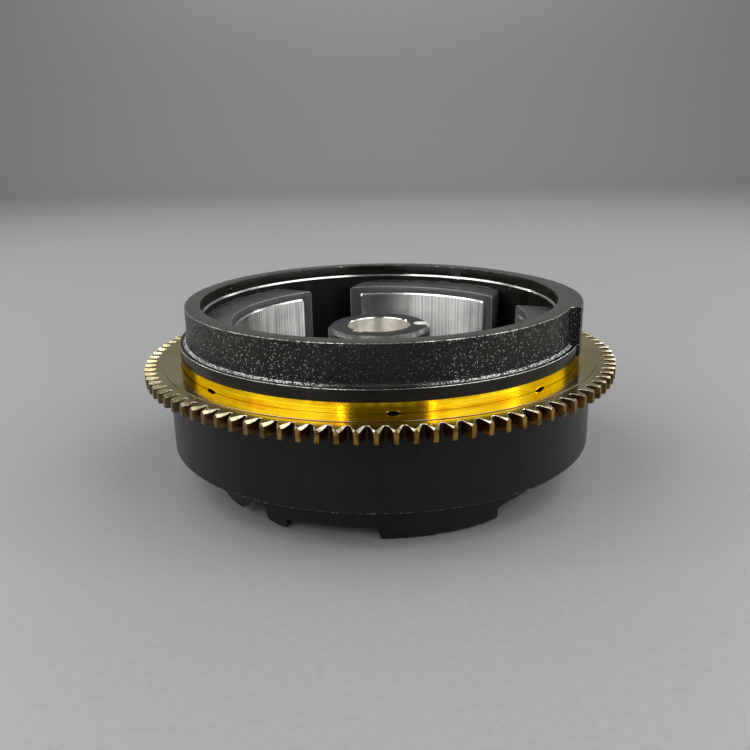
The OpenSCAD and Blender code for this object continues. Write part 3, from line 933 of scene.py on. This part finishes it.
def cut_out(piece, cutters, sharp):
    """Cuts the cutters out of a piece, removes them and shades the piece again."""
    for c in cutters:
        mod = piece.modifiers.new("cut", "BOOLEAN")
        mod.operation = "DIFFERENCE"
        mod.solver = "EXACT"
        mod.material_mode = "TRANSFER"
        mod.object = c
    settle(piece)
    for c in cutters:
        bpy.data.objects.remove(c)
    shade(piece, sharp)


def hub_paint():
    """Satin black over the boss, rubbed on its top chamfer, with grease-dulled patches."""
    t = Tree("hub_paint")
    high = t.math("GREATER_THAN", t.math("DIVIDE", t.parts()[2], MM), HUB_TOP - 2.0)
    wide = t.math("GREATER_THAN", t.math("DIVIDE", t.radius(), MM), HUB_R - 1.9)
    on_chamfer = t.math("MULTIPLY", high, wide)
    wear = t.noise(t.stretched(0.5, 0.5, 1), 0.35, 4, 0.6)
    rubbed = t.math("MULTIPLY", on_chamfer, t.ramp(wear, (0.45, 0.0), (0.68, 0.4)))
    cloud = t.grain(0.3, 4)
    black = t.ramp(cloud, (0.35, (0.016, 0.016, 0.015)), (0.7, (0.034, 0.034, 0.030)))
    t.set(base_color=t.blend(rubbed, black, (0.50, 0.49, 0.46)), metallic=rubbed)
    t.set(roughness=t.mix(rubbed, 0.4, 0.24), specular_ior_level=0.5)
    rings = t.noise(t.radial(2.0), 1.0, 3)
    t.bump(rings, 0.25, 0.04)
    return t.material


def hub_cutters(steel, pale):
    """What is cut from the boss: the slot in its end face, the keyway and the puller holes."""
    slot_in = SLOT_INNER + SLOT_HALF
    turns = [math.radians(90 + 180 * i / 16) for i in range(17)]
    slot = [(slot_in + SLOT_HALF * math.cos(t), SLOT_HALF * math.sin(t)) for t in turns]
    slot += [(HUB_R + 2, -SLOT_HALF), (HUB_R + 2, SLOT_HALF)]
    key_r = TAPER_R + KEYWAY_DEPTH
    key = [(0, -KEYWAY_HALF), (key_r, -KEYWAY_HALF), (key_r, KEYWAY_HALF), (0, KEYWAY_HALF)]
    hole = circle_outline(PULLER_R, PULLER_CIRCLE)
    low, high = CUP_BOTTOM - 1, HUB_TOP + 1
    cutters = [
        # The slot and the keyway take the pale finish, a painted highlight on their walls.
        cutter("slot_cut", slot, HUB_TOP - SLOT_DEPTH, high, facing(SLOT_ANGLE), pale),
        cutter("key_cut", key, low, high, facing(KEYWAY_ANGLE), pale),
    ]
    for i in range(PULLERS):
        place = facing(FIRST_PULLER + i * 360 / PULLERS)
        cutters.append(cutter("puller_cut", hole, low, CUP_BOTTOM + PULLER_DEPTH, place, steel))
    return cutters


def build_hub():
    paint, steel, bright = range(3)
    outline = [
        (NUT_SEAT_R, CUP_BOTTOM, paint),
        (PILOT_R - 0.45, CUP_BOTTOM, paint),
        (PILOT_R - 0.05, CUP_BOTTOM + 0.4, paint),
        (PILOT_R - 0.05, FLOOR_TOP + 0.02, paint),
        (FLANGE_R - 0.4, FLOOR_TOP + 0.02, paint),
        (FLANGE_R, FLOOR_TOP + 0.4, paint),
        (FLANGE_R, FLANGE_TOP - 1.5, paint),
        (FLANGE_R - 1.5, FLANGE_TOP, paint),
    ]
    outline += arc_profile(HUB_R + 2.5, FLANGE_TOP + 2.5, 2.5, 270, 180, 5, paint)
    outline += [
        (HUB_R, HUB_TOP - 1.9, paint),
        (HUB_R - 0.15, HUB_TOP - 1.65, paint),
        (HUB_R - 1.65, HUB_TOP - 0.12, paint),
        (HUB_R - 1.95, HUB_TOP, paint),
        (TAPER_R + 0.4, HUB_TOP, bright),
        (TAPER_R, HUB_TOP - 0.4, steel),
        (TAPER_SMALL, NUT_SEAT_Z, steel),
        (NUT_SEAT_R, NUT_SEAT_Z, steel),
    ]
    parts = [
        hub_paint(),
        bare_steel("taper_steel", (1.0, 0.97, 0.89), 0.33, 5.0),
        bare_steel("bright_edge", (0.9, 0.88, 0.84), 0.16),
        # Nearly white and mostly not metal, as a painted highlight in the slot and the keyway.
        bare_steel("slot_steel", (0.97, 0.96, 0.93), 0.5, 2.5, 0.2),
    ]
    hub = lathe("hub", outline, even_angles(240), parts, sharp=28)
    cut_out(hub, hub_cutters(parts[1], parts[3]), 28)
    hand_in(hub, "hub_steel", "hub_boss")


def build_rivets():
    """Round-headed rivets through the floor and the flange."""
    steel = bare_steel("rivet_steel", (0.34, 0.33, 0.31), 0.4)
    low, high = CUP_BOTTOM, FLANGE_TOP
    rise, head, shank, axis = 2.6, 5.5, 3.5, 0.001
    turns = (0.35, 0.7, 1.05, 1.4)
    outline = [(axis, low - rise, 0)]
    outline += [(head * math.sin(t), low - rise * math.cos(t), 0) for t in turns]
    outline += [(head, low, 0), (shank, low, 0), (shank, high, 0), (head, high, 0)]
    outline += [(head * math.sin(t), high + rise * math.cos(t), 0) for t in reversed(turns)]
    outline += [(axis, high + rise, 0)]
    for i in range(RIVETS):
        rivet = lathe("rivet_%d" % (i + 1), outline, even_angles(40), [steel])
        rivet.data.transform(Matrix.Translation(around(i * 360 / RIVETS, RIVET_CIRCLE, 0) * MM))
        hand_in(rivet, "rivet_steel", "hub_rivets")


# ---------------------------------------------------------------- the magnet blocks
def rounded_rect(half_w, low, high, corner, steps=6):
    """Outline of a rounded rectangle, (x, z), anticlockwise from its right-hand side."""
    corner = max(0.05, corner)
    centres = (
        (half_w - corner, low + corner, -90),
        (half_w - corner, high - corner, 0),
        (corner - half_w, high - corner, 90),
        (corner - half_w, low + corner, 180),
    )
    outline = []
    for cx, cz, start in centres:
        for i in range(steps + 1):
            t = math.radians(start + 90 * i / steps)
            outline.append((cx + corner * math.cos(t), cz + corner * math.sin(t)))
    return outline


def bent_plate(name, rings, closed, materials, slots, centre, step=1.6):
    """A plate built flat from rounded rings, then bent round the axis.

    A ring is (half width, low, high, corner, radius), where the half width is measured
    straight across. The first and last rings are joined when closed, as on a picture
    frame, and are filled in when not, as on a solid block.
    """
    bm = bmesh.new()
    loops = []
    for half_w, low, high, corner, r in rings:
        reach = math.asin(half_w / r) * SHOE_R
        loops.append([bm.verts.new((x, r, z)) for x, z in rounded_rect(reach, low, high, corner)])
    n = len(loops[0])
    pairs = list(zip(loops, loops[1:])) + ([(loops[-1], loops[0])] if closed else [])
    for k, (one, two) in enumerate(pairs):
        for i in range(n):
            j = (i + 1) % n
            bm.faces.new((one[i], one[j], two[j], two[i])).material_index = slots[k]
    if not closed:
        bm.faces.new(list(reversed(loops[0]))).material_index = slots[0]
        bm.faces.new(loops[-1]).material_index = slots[-1]
    widest = max(v.co.x for v in bm.verts)
    x = -widest + step / 2
    while x < widest:
        everything = bm.verts[:] + bm.edges[:] + bm.faces[:]
        bmesh.ops.bisect_plane(bm, geom=everything, plane_co=(x, 0, 0), plane_no=(1, 0, 0))
        x += step
    for v in bm.verts:
        v.co = around(centre + math.degrees(v.co.x / SHOE_R), v.co.y, v.co.z) * MM
    mesh = bpy.data.meshes.new(name)
    bm.to_mesh(mesh)
    bm.free()
    for m in materials:
        mesh.materials.append(m)
    piece = link(name, mesh)
    finish_mesh(piece, 32)
    return piece


def build_blocks():
    plastic = moulding()
    # A lighter grey copy of the plastic: the painted highlight along the frame's front edge.
    ridge_highlight = moulding("frame_ridge", 0.16, 0.22)
    brushed = brushed_shoe()
    edge = bare_steel("shoe_edge", (0.95, 0.95, 0.93), 0.2)
    dark = ceramic()
    s_low, s_high = shoe_low.z, shoe_high.z
    f_low, f_high = frame_low.z, frame_high.z
    w_low, w_high = s_low - 0.1, s_high + 0.1
    window = SHOE_HALF + 0.1
    half = FRAME_HALF
    chamfer = 0.75
    for i in range(BLOCKS):
        centre = FIRST_BLOCK + i * 360 / BLOCKS
        shoe_rings = [
            (SHOE_HALF, s_low, s_high, 1.7, SHOE_BACK_R),
            (SHOE_HALF, s_low, s_high, 1.7, SHOE_R + chamfer),
            (SHOE_HALF - chamfer, s_low + chamfer, s_high - chamfer, 1.2, SHOE_R),
        ]
        shoe = bent_plate("shoe_%d" % (i + 1), shoe_rings, False, [brushed, edge], [1, 1, 0], centre)
        hand_in(shoe, "pole_steel", "pole_shoe_%d" % (i + 1))
        frame_rings = [
            (window, w_low, w_high, 1.8, BLOCK_BACK_R),
            (window, w_low, w_high, 1.8, FRAME_R + 0.2),
            (window + 0.2, w_low - 0.2, w_high + 0.2, 2.0, FRAME_R),
            (half - 0.5, f_low + 0.5, f_high - 0.75, 1.3, FRAME_R),
            (half - 0.2, f_low + 0.2, f_high - 0.5, 1.5, FRAME_R + 0.1),
            (half - 0.05, f_low + 0.05, f_high - 0.35, 1.7, FRAME_R + 0.3),
            (half, f_low, f_high - 0.28, 1.8, FRAME_R + 0.6),
            (half, f_low, f_high, 1.9, BLOCK_BACK_R),
        ]
        # The rings round the frame's front edge carry the painted highlight.
        slots = [0, 0, 0, 1, 1, 0, 0, 0]
        looks = [plastic, ridge_highlight]
        surround = bent_plate("surround_%d" % (i + 1), frame_rings, True, looks, slots, centre)
        hand_in(surround, "frame_plastic", "magnet_frame_%d" % (i + 1))
        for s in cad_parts["magnet_%d" % (i + 1)].material_slots:
            s.material = dark


def build_beads():
    """Glue squeezed out along the top of each frame: an uneven bead against the wall."""
    glue = amber_glue()
    low, high = bead_low.z, bead_high.z
    sides, half_angle, steps = 8, 27.0, 150
    for i in range(BLOCKS):
        centre = FIRST_BLOCK + i * 360 / BLOCKS
        points = []
        for s in range(steps + 1):
            a = centre - half_angle + 2 * half_angle * s / steps
            spot = around(a, BOWL_R, low) * 0.25
            fat = 0.55 + 0.45 * noise.noise(spot + Vector((0, 0, 7.3 * i)))
            taper = min(1, min(s, steps - s) / 6 + 0.05)
            size = (high - low) * fat * taper
            for k in range(sides + 1):
                t = math.pi / 2 * k / sides
                swell = 1 + 0.12 * noise.noise(around(a, BOWL_R, k) * 1.3)
                inset = size * math.cos(t) * swell
                points.append(around(a, BLOCK_BACK_R - inset, low + size * math.sin(t)))
            points.append(around(a, BLOCK_BACK_R, low))
        faces = tube_faces(steps + 1, sides + 2)
        bead = make_object("glue_bead_%d" % (i + 1), points, faces, None, [glue], 50)
        hand_in(bead, "adhesive", "adhesive_beads")


# ---------------------------------------------------------------- the starter pulley
def pulley_outline():
    """One repeat of the wall's lower edge, as (angle, height), from the start of a deep foot."""
    return [
        (0.0, 0.0),
        (10.0, 0.05),
        (22.0, 0.45),
        (32.9, 1.1),
        (33.35, 1.5),
        (33.5, 4.6),
        (34.3, 5.4),
        (36.5, 6.2),
        (42.0, 7.1),
        (52.0, 7.3),
        (64.0, 7.2),
        (68.0, 6.3),
        (72.0, 4.2),
        (74.5, 3.5),
        (76.9, 3.2),
        (82.8, 8.8),
        (82.9, PULLEY_ROOF),
        (85.6, PULLEY_ROOF),
        (85.7, PULLEY_ROOF - 1.5),
        (86.7, 3.0),
        (87.4, 2.1),
        (90.0, 1.1),
        (92.8, 0.8),
        (92.9, 1.1),
        (93.0, 4.4),
        (105.0, 4.4),
        (118.2, 4.4),
        (118.5, 4.0),
        (119.7, 0.25),
    ]


def edge_height(angle):
    """Height of the wall's lower edge at an angle."""
    period = 360 / PULLEY_REPEATS
    u = angle % period
    outline = pulley_outline() + [(period, 0.0)]
    for (a, p), (b, q) in zip(outline, outline[1:]):
        if a <= u <= b:
            return p + (q - p) * (u - a) / (b - a)
    return 0.0


def pulley_angles():
    """The outline's corners, with even steps between them."""
    period = 360 / PULLEY_REPEATS
    corners = [a for a, _ in pulley_outline()] + [period]
    angles = []
    for a, b in zip(corners, corners[1:]):
        n = max(1, math.ceil((b - a) / 1.2))
        angles += [a + (b - a) * i / n for i in range(n)]
    return [a + k * period for k in range(PULLEY_REPEATS) for a in angles]


def build_pulley():
    paint, rubbed, shadow = range(3)
    inner = PULLEY_R - PULLEY_WALL
    chamfer = 0.45
    outline = [
        (PULLEY_BORE + 0.3, PULLEY_TOP, paint),
        (PULLEY_BORE, PULLEY_TOP - 0.3, paint),
        (PULLEY_BORE, PULLEY_ROOF + 0.3, rubbed),
        (PULLEY_BORE + 0.3, PULLEY_ROOF, paint),
        (inner - 1.2, PULLEY_ROOF, paint),
        (inner, "root", paint),
        (inner, "edge_in", rubbed),
        (inner + chamfer, "edge", paint),
        (PULLEY_R - chamfer, "edge", rubbed),
        (PULLEY_R, "edge_out", paint),
        # Painted shade: the top chamfer of the wall, under the drum's overhang, is near black.
        (PULLEY_R, PULLEY_TOP - 1.2, shadow),
        (PULLEY_R - 0.9, PULLEY_TOP - 0.9, shadow),
        (PULLEY_R - 1.0, PULLEY_TOP, paint),
    ]

    def place(angle, r, z):
        low = edge_height(angle)
        if z == "edge":
            z = low
        elif z in ("edge_in", "edge_out"):
            z = min(low + chamfer, PULLEY_ROOF + 0.05)
        elif z == "root":
            z = max(PULLEY_ROOF - 1.2, min(low + chamfer + 0.05, PULLEY_ROOF + 0.1))
        return r, z

    wall_paint = smooth_paint("pulley_paint", (0.007, 0.007, 0.006), 0.4, 0.3, 0.2)
    pulley = lathe("pulley", outline, pulley_angles(), [wall_paint, RUBBED, SHADOW], place, sharp=30)
    hole = circle_outline(BOLT_HOLE_R, BOLT_CIRCLE)
    turns = [facing(i * 360 / BOLTS) for i in range(BOLTS)]
    holes = [cutter("bolt_cut", hole, PULLEY_ROOF - 1, PULLEY_TOP + 1, turn) for turn in turns]
    cut_out(pulley, holes, 30)
    hand_in(pulley, "pulley_paint", "starter_pulley")


def bolt_points():
    """Loops of points up a hexagon bolt with a chamfered head: (points, points in a loop)."""
    flat_r, head, shank, lead_in, sides = 6.5, 5.3, 3.95, 0.8, 36
    corner_r = flat_r / math.cos(math.pi / 6)
    low, high = bolt_low.z, bolt_high.z
    levels = [
        (flat_r - 0.6, low),
        (flat_r, low + 0.15),
        (corner_r, low + 0.9),
        (corner_r, low + head),
        (shank, low + head),
        (shank, high - lead_in),
        (shank - lead_in, high),
    ]
    points = []
    for limit, z in levels:
        for k in range(sides):
            t = 2 * math.pi * k / sides
            hexagon = flat_r / math.cos((t + math.pi / 6) % (math.pi / 3) - math.pi / 6)
            r = min(hexagon, limit)
            points.append(Vector((r * math.cos(t), r * math.sin(t), z)))
    return points, sides


def build_bolts():
    """The bolts of the starter pulley and their washers."""
    plate = zinc()
    points, sides = bolt_points()
    faces = tube_faces(len(points) // sides, sides)
    low, high = washer_low.z, washer_high.z
    ring = [
        (4.15, low + 0.2, 0),
        (4.35, low, 0),
        (7.8, low, 0),
        (8.0, low + 0.25, 0),
        (8.0, high - 0.05, 0),
        (7.95, high, 0),
        (4.2, high, 0),
        (4.15, high - 0.05, 0),
    ]
    for i in range(BOLTS):
        move = around(i * 360 / BOLTS, BOLT_CIRCLE, 0)
        bolt = make_object("bolt_%d" % (i + 1), [p + move for p in points], faces, None, [plate], 28)
        hand_in(bolt, "bolt_zinc", "pulley_bolts")
        washer = lathe("washer_%d" % (i + 1), ring, even_angles(48), [plate])
        washer.data.transform(Matrix.Translation(move * MM))
        hand_in(washer, "bolt_zinc", "pulley_washers")


# ---------------------------------------------------------------- floor, lights and camera
def build_stage():
    """A pale sheet that runs back and curves up behind the object."""
    depth_front, depth_back, width, rise, bend = -3.0, 1.6, 4.0, 2.6, 0.7
    path = [(depth_front, 0.0), (0.0, 0.0), (depth_back, 0.0)]
    for i in range(1, 13):
        t = math.pi / 2 * i / 12
        path.append((depth_back + bend * math.sin(t), bend * (1 - math.cos(t))))
    path.append((depth_back + bend, rise))
    mesh = bpy.data.meshes.new("floor")
    points = [(x, y, z) for y, z in path for x in (-width, width)]
    faces = [(2 * i, 2 * i + 1, 2 * i + 3, 2 * i + 2) for i in range(len(path) - 1)]
    mesh.from_pydata(points, [], faces)
    mesh.materials.append(pale_floor())
    mesh.polygons.foreach_set("use_smooth", [True] * len(mesh.polygons))
    floor = link("floor", mesh)
    floor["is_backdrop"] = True


def soft_light(name, azimuth, distance, height, width, tall, power, aim_height=0.05, aim_back=0.0):
    """A rectangular soft light at an angle from the front, aimed at the object or behind it."""
    data = bpy.data.lights.new(name, "AREA")
    data.shape = "RECTANGLE"
    data.size, data.size_y = width, tall
    data.energy = power
    lamp = link(name, data)
    lamp.location = around(azimuth, distance, height)
    aim = Vector((0, aim_back, aim_height)) - lamp.location
    lamp.rotation_euler = aim.to_track_quat("-Z", "Y").to_euler()


def build_lights():
    """Soft boxes at both sides and overhead, small lamps for glints, and one box for the backdrop."""
    for side, turn in ((-1, 0), (1, 7)):
        soft_light("side_box", side * 46 + turn, 1.0, 0.42, 0.95, 0.8, 3.9)
        soft_light("wing_box", side * 96, 1.0, 0.42, 0.95, 0.8, 2.3)
        soft_light("inner_strip", side * 20 + turn, 1.15, 0.40, 0.03, 0.22, 0.34)
        soft_light("lamp", side * 40, 1.1, 0.82, 0.07, 0.07, 1.1)
        soft_light("wing_lamp", side * 84, 1.0, 0.70, 0.07, 0.07, 1.1)
        soft_light("edge_strip", side * 128, 1.1, 0.72, 0.6, 0.06, 1.9)
        soft_light("top_box", side * 82, 0.72, 1.25, 1.3, 0.9, 8.0)
    soft_light("back_box", 180, 0.7, 1.3, 2.6, 0.5, 16, aim_height=0.4, aim_back=2.2)
    world = bpy.data.worlds.new("studio")
    world.use_nodes = True
    back = world.node_tree.nodes["Background"]
    back.inputs[0].default_value = (0.9, 0.95, 1.0, 1)
    back.inputs[1].default_value = 0.1
    bpy.context.scene.world = world
    bpy.context.scene.view_settings.view_transform = "Standard"


def build_camera():
    """The view from a little above, close to the object, turned slightly off its axis."""
    distance = 3.553 * TIP_R
    aim_z = 0.514 * TIP_R
    elevation = math.radians(15.17)
    pan, tilt, roll = 0.349, -2.001, 0.953
    data = bpy.data.cameras.new("camera")
    data.sensor_width = 36.0
    data.lens = 38.7504
    data.clip_start = 0.01
    camera = link("camera", data)
    place = Vector((0, -distance * math.cos(elevation), distance * math.sin(elevation)))
    forward = -place.normalized()
    right = Vector((1, 0, 0))
    up = right.cross(forward)
    for index, angle in ((1, pan), (0, tilt), (2, roll)):
        axis = (right, up, forward)[index]
        turn = Matrix.Rotation(math.radians(angle), 3, axis)
        right, up, forward = turn @ right, turn @ up, turn @ forward
    basis = Matrix((right, up, -forward)).transposed().to_4x4()
    camera.matrix_world = Matrix.Translation((place + Vector((0, 0, aim_z))) * MM) @ basis
    bpy.context.scene.camera = camera


build_cup()
build_gear()
build_hub()
build_rivets()
build_blocks()
build_beads()
build_pulley()
build_bolts()
build_stage()
build_lights()
build_camera()

bpy.context.view_layer.update()
boxes = {"cad": cad_bounds, "visual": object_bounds()}
{k: [list(corner) for corner in v] for k, v in boxes.items()}
